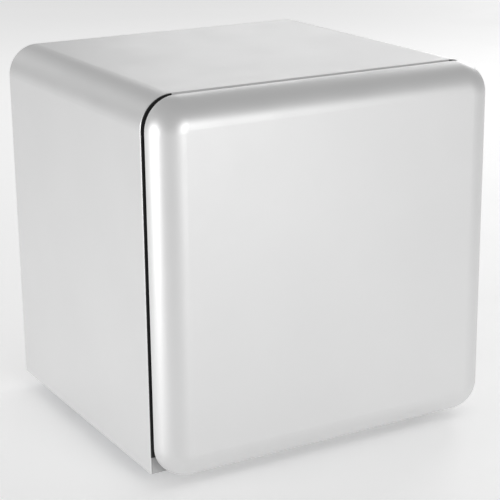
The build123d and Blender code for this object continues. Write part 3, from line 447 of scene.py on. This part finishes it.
def compressor_bolts():
    """Flanged bolts with a pointed end below and a hexagon on top."""
    flange = BOLT_SEAT + BOLT_FLANGE_T
    hexagon = flange + BOLT_FLANGE_SLOPE
    rings = [(BOLT_END, BOLT_POINT_R, 0), (BOLT_END + BOLT_POINT, BOLT_R, 0), (BOLT_SEAT, BOLT_R, 0),
             (BOLT_SEAT, BOLT_FLANGE_R, 0), (flange, BOLT_FLANGE_R, 0), (hexagon, BOLT_HEX_FOOT_R, 0),
             (hexagon, BOLT_HEX_R, 1), (BOLT_TOP - BOLT_CROWN, BOLT_HEX_R, 1), (BOLT_TOP, BOLT_CROWN_R, 0)]
    soup = Soup()
    for x in BOLT_X:
        for y in BOLT_Y:
            soup.add(*lathe(rings, Matrix.Translation((x, y, 0))))
    piece("compressor_bolts_detail", soup.verts, soup.faces, "zinc_screw", node="compressor_bolts")


def foot_stud(side):
    """Threaded stud with a hexagon for the spanner."""
    x, y = side * FOOT_X, FOOT_Y
    soup = Soup()
    hexagon = [(FOOT_HEX_LOW, FOOT_HEX_LOW_R, 0), (FOOT_HEX_LOW + FOOT_HEX_CHAMFER, FOOT_HEX_R, 1),
               (FOOT_HEX_TOP - FOOT_HEX_CHAMFER, FOOT_HEX_R, 1), (FOOT_HEX_TOP, FOOT_HEX_TOP_R, 0)]
    soup.add(*lathe(hexagon, Matrix.Translation((x, y, 0)), twist=math.pi / 6))
    rows = int((STUD_TOP - STUD_LOW) / THREAD_PITCH * THREAD_STEPS)
    verts = []
    for i in range(rows + 1):
        z = STUD_LOW + (STUD_TOP - STUD_LOW) * i / rows
        for k, a in enumerate(circle(THREAD_SEGMENTS)):
            phase = (z / THREAD_PITCH - k / THREAD_SEGMENTS) % 1.0
            r = STUD_R - THREAD_DEPTH * abs(2 * phase - 1) ** THREAD_SHAPE
            if i in (0, rows):
                r = STUD_END_R
            verts.append((x + r * math.cos(a), y + r * math.sin(a), z))
    soup.add(verts, bands(rows + 1, THREAD_SEGMENTS) + caps(rows + 1, THREAD_SEGMENTS))
    name = "left_foot_stud" if side < 0 else "right_foot_stud"
    piece(name + "_thread", soup.verts, soup.faces, "zinc_screw", body=name, node=name, sharp=50)


def seal():
    """Door seal: its profile carried once round the door."""
    across, low, top = SEAL_HALF_W - SEAL_CORNER, SEAL_LOW + SEAL_CORNER, SEAL_TOP - SEAL_CORNER
    verts = []
    for cx, cz, start in ((across, top, 0), (-across, top, 90), (-across, low, 180), (across, low, 270)):
        for k in range(SEAL_CORNER_STEPS + 1):
            a = math.radians(start + 90 * k / SEAL_CORNER_STEPS)
            for inward, rise in SEAL_PROFILE:
                r = SEAL_CORNER - inward
                verts.append((cx + r * math.cos(a), SEAL_BACK + rise, cz + r * math.sin(a)))
    n = len(SEAL_PROFILE)
    stations = len(verts) // n
    faces = []
    for i in range(stations):
        j = (i + 1) % stations
        for k in range(n):
            q = (k + 1) % n
            faces.append((i * n + k, j * n + k, j * n + q, i * n + q))
    piece("door_seal_lips", verts, faces, "dark_seal", body="door", node="door_gasket", sharp=60)


def digit(number, cx, cz):
    """Vertices and faces of one thin digit on the dial's face."""
    curve = bpy.data.curves.new("digit", "FONT")
    curve.body = str(number)
    curve.size = DIGIT_SIZE
    curve.align_x = "CENTER"
    curve.align_y = "CENTER"
    curve.extrude = DIGIT_HALF_T
    curve.resolution_u = 3
    text = bpy.data.objects.new("digit", curve)
    mesh = bpy.data.meshes.new_from_object(text)
    verts = [(cx + v.co.x, DIAL_FACE - DIGIT_LIFT - v.co.z, cz + v.co.y) for v in mesh.vertices]
    faces = [tuple(p.vertices) for p in mesh.polygons]
    bpy.data.objects.remove(text)
    bpy.data.curves.remove(curve)
    bpy.data.meshes.remove(mesh)
    return verts, faces


def dial():
    """Numbers and strokes round the thermostat knob."""
    soup = Soup()
    for k in range(DIGITS):
        turn = math.radians(DIAL_START + DIAL_TURN * k / (DIGITS - 1))
        soup.add(*digit(k, DIAL_X + DIGIT_RING * math.sin(turn), DIAL_Z + DIGIT_RING * math.cos(turn)))
    inner, outer = STROKE_RING
    for k in range(STROKES):
        turn = math.radians(DIAL_START + DIAL_TURN * k / (STROKES - 1))
        out = Vector((math.sin(turn), 0, math.cos(turn)))
        side = Vector((out.z, 0, -out.x))
        wide = LONG_STROKE_HALF_W if k % 2 == 0 else SHORT_STROKE_HALF_W
        ends = ((inner, -wide), (inner, wide), (outer, wide), (outer, -wide))
        corners = [out * r + side * s for r, s in ends]
        verts = [Vector((DIAL_X, DIAL_FACE - d, DIAL_Z)) + c for d in STROKE_LIFT for c in corners]
        soup.add(verts, [(0, 1, 2, 3), (7, 6, 5, 4), (0, 4, 5, 1), (1, 5, 6, 2), (2, 6, 7, 3), (3, 7, 4, 0)])
    piece("dial_numbers", soup.verts, soup.faces, "ink")


def knob_pointer():
    """Mark with round ends on the knob's grip."""
    outline = []
    for start, end in zip((0, math.pi), POINTER_ENDS):
        for k in range(POINTER_STEPS + 1):
            a = start + math.pi * k / POINTER_STEPS
            outline.append((POINTER_R * math.cos(a), POINTER_R * math.sin(a) + end))
    n = len(outline)
    front = KNOB_FACE + POINTER_SUNK
    verts = [(DIAL_X + u, front - d, DIAL_Z + w) for d in (0.0, POINTER_T) for u, w in outline]
    faces = [tuple(range(n)), tuple(reversed(range(n, 2 * n)))]
    faces += [(k, k + n, (k + 1) % n + n, (k + 1) % n) for k in range(n)]
    piece("knob_pointer", verts, faces, "ink", body="thermostat_knob")


def loop_tube(points, radius, segments=12, closed=True, ripple=0.0):
    """Round bead along a list of points; ripple is what every second point adds, as a share of the radius."""
    verts = []
    count = len(points)
    for i, p in enumerate(points):
        a = points[i - 1] if closed or i > 0 else points[i]
        b = points[(i + 1) % count] if closed or i < count - 1 else points[i]
        along = (b - a).normalized()
        flat = along.cross(Vector((0, 0, 1))).normalized()
        lift = flat.cross(along)
        r = radius * (1.0 + ripple * (i % 2))
        verts += [p + flat * r * math.cos(t) + lift * r * math.sin(t) for t in circle(segments)]
    faces = []
    for i in range(count if closed else count - 1):
        j = (i + 1) % count
        for k in range(segments):
            n = (k + 1) % segments
            faces.append((i * segments + k, j * segments + k, j * segments + n, i * segments + n))
    if not closed:
        faces += caps(count, segments)
    return verts, faces


def compressor_weld():
    ring = [Vector((CAN_X + WELD_RX * math.cos(a), CAN_Y + WELD_RY * math.sin(a), WELD_Z))
            for a in circle(WELD_STEPS)]
    piece("compressor_weld", *loop_tube(ring, WELD_R, 10, ripple=WELD_RIPPLE), "black_paint", sharp=60)


def terminal_bail():
    """Wire that holds the cover over the terminals, bent round its two corners."""
    front, rear = BAIL_LEGS_Y
    path = [Vector((BAIL_INNER_X, front, BAIL_Z))]
    for y, start, end in ((front, (1, 0), (0, 1)), (rear, (0, -1), (1, 0))):
        corner = Vector((BAIL_OUTER_X, y, BAIL_Z))
        a = corner + BAIL_CORNER * Vector((*start, 0))
        c = corner + BAIL_CORNER * Vector((*end, 0))
        for k in range(BAIL_STEPS + 1):
            t = k / BAIL_STEPS
            path.append(a * (1 - t) ** 2 + corner * 2 * t * (1 - t) + c * t ** 2)
    path.append(Vector((BAIL_INNER_X, rear, BAIL_Z)))
    piece("terminal_bail", *loop_tube(path, BAIL_R, closed=False), "zinc_screw", sharp=60)


screws()
compressor_bolts()
foot_stud(-1)
foot_stud(1)
seal()
dial()
knob_pointer()
compressor_weld()
terminal_bail()


# Floor, camera and light
def floor():
    """Round floor, so that no corner of it shows from any side."""
    mesh = bpy.data.meshes.new("floor")
    rim = [(FLOOR_R * math.cos(a), FLOOR_R * math.sin(a), FLOOR_Z) for a in circle(FLOOR_SEGMENTS)]
    mesh.from_pydata(rim, [], [tuple(range(FLOOR_SEGMENTS))])
    obj = bpy.data.objects.new("floor", mesh)
    scene.collection.objects.link(obj)
    mat = surface("floor_white", (0.97, 0.97, 0.97), 0.7, vary=0.004, scale=1.5, grain=90.0)
    bsdf = mat.node_tree.nodes["Principled BSDF"]
    bsdf.inputs["Emission Color"].default_value = (1, 1, 1, 1)
    bsdf.inputs["Emission Strength"].default_value = FLOOR_GLOW
    mesh.materials.append(mat)


def camera():
    """Camera turned by yaw from +Y towards +X, by pitch downwards and by roll about its own axis."""
    yaw, pitch, roll = (math.radians(a) for a in (CAMERA_YAW, CAMERA_PITCH, CAMERA_ROLL))
    ahead = Vector((math.sin(yaw) * math.cos(pitch), math.cos(yaw) * math.cos(pitch), -math.sin(pitch)))
    right = Vector((math.cos(yaw), -math.sin(yaw), 0))
    up = right.cross(ahead)
    side = right * math.cos(roll) + up * math.sin(roll)
    top = up * math.cos(roll) - right * math.sin(roll)
    data = bpy.data.cameras.new("camera")
    data.sensor_fit = "HORIZONTAL"
    data.sensor_width = CAMERA_SENSOR
    data.lens = CAMERA_LENS
    data.clip_end = CAMERA_REACH
    obj = bpy.data.objects.new("camera", data)
    scene.collection.objects.link(obj)
    place = Matrix((side, top, -ahead)).transposed().to_4x4()
    place.translation = Vector(CAMERA_PLACE)
    obj.matrix_world = place
    scene.camera = obj


def softbox(name, place, target, width, height, power, spread=180.0):
    """Area light of a size in metres and a power in watts, facing its target."""
    data = bpy.data.lights.new(name, "AREA")
    data.shape = "RECTANGLE"
    data.size = width
    data.size_y = height
    data.energy = power
    data.spread = math.radians(spread)
    obj = bpy.data.objects.new(name, data)
    scene.collection.objects.link(obj)
    obj.location = place
    obj.rotation_euler = (Vector(target) - Vector(place)).to_track_quat("-Z", "Y").to_euler()


def square_softbox(name, azimuth, height, distance, size, power, spread=180.0):
    """Square softbox that faces the middle of the part from a distance. Azimuth 0 is +X and 90 is +Y."""
    turn, lift = math.radians(azimuth), math.radians(height)
    flat = distance * math.cos(lift)
    place = (flat * math.cos(turn), flat * math.sin(turn), MIDDLE[2] + distance * math.sin(lift))
    softbox(name, place, MIDDLE, size, size, power, spread)


def lights():
    world = bpy.data.worlds.new("studio")
    scene.world = world
    world.use_nodes = True
    sky = world.node_tree.nodes["Background"]
    sky.inputs["Color"].default_value = (1, 1, 1, 1)
    sky.inputs["Strength"].default_value = SKY_STRENGTH
    softbox("left", LEFT_PLACE, LEFT_TARGET, width=0.5, height=1.4, power=2.6, spread=LIGHT_SPREAD)
    softbox("left_low", LEFT_LOW_PLACE, LEFT_LOW_TARGET, width=0.5, height=0.4, power=1.45,
            spread=LEFT_LOW_SPREAD)
    square_softbox("front", 280, 8, LIGHT_NEAR, size=0.8, power=5.4, spread=LIGHT_SPREAD)
    square_softbox("rear_left", 120, 28, LIGHT_NEAR, size=1.0, power=1.0)
    square_softbox("rear_right", 60, 28, LIGHT_NEAR, size=1.0, power=4.1)
    square_softbox("right", 30, 28, LIGHT_NEAR, size=1.0, power=9.2)
    square_softbox("right_low", 42, 10, LIGHT_FAR, size=1.4, power=7.4, spread=LIGHT_SPREAD)
    square_softbox("rear_low", 90, 10, LIGHT_FAR, size=1.4, power=4.0, spread=LIGHT_SPREAD)
    scene.view_settings.view_transform = "Standard"
    scene.view_settings.look = "None"


floor()
camera()
lights()
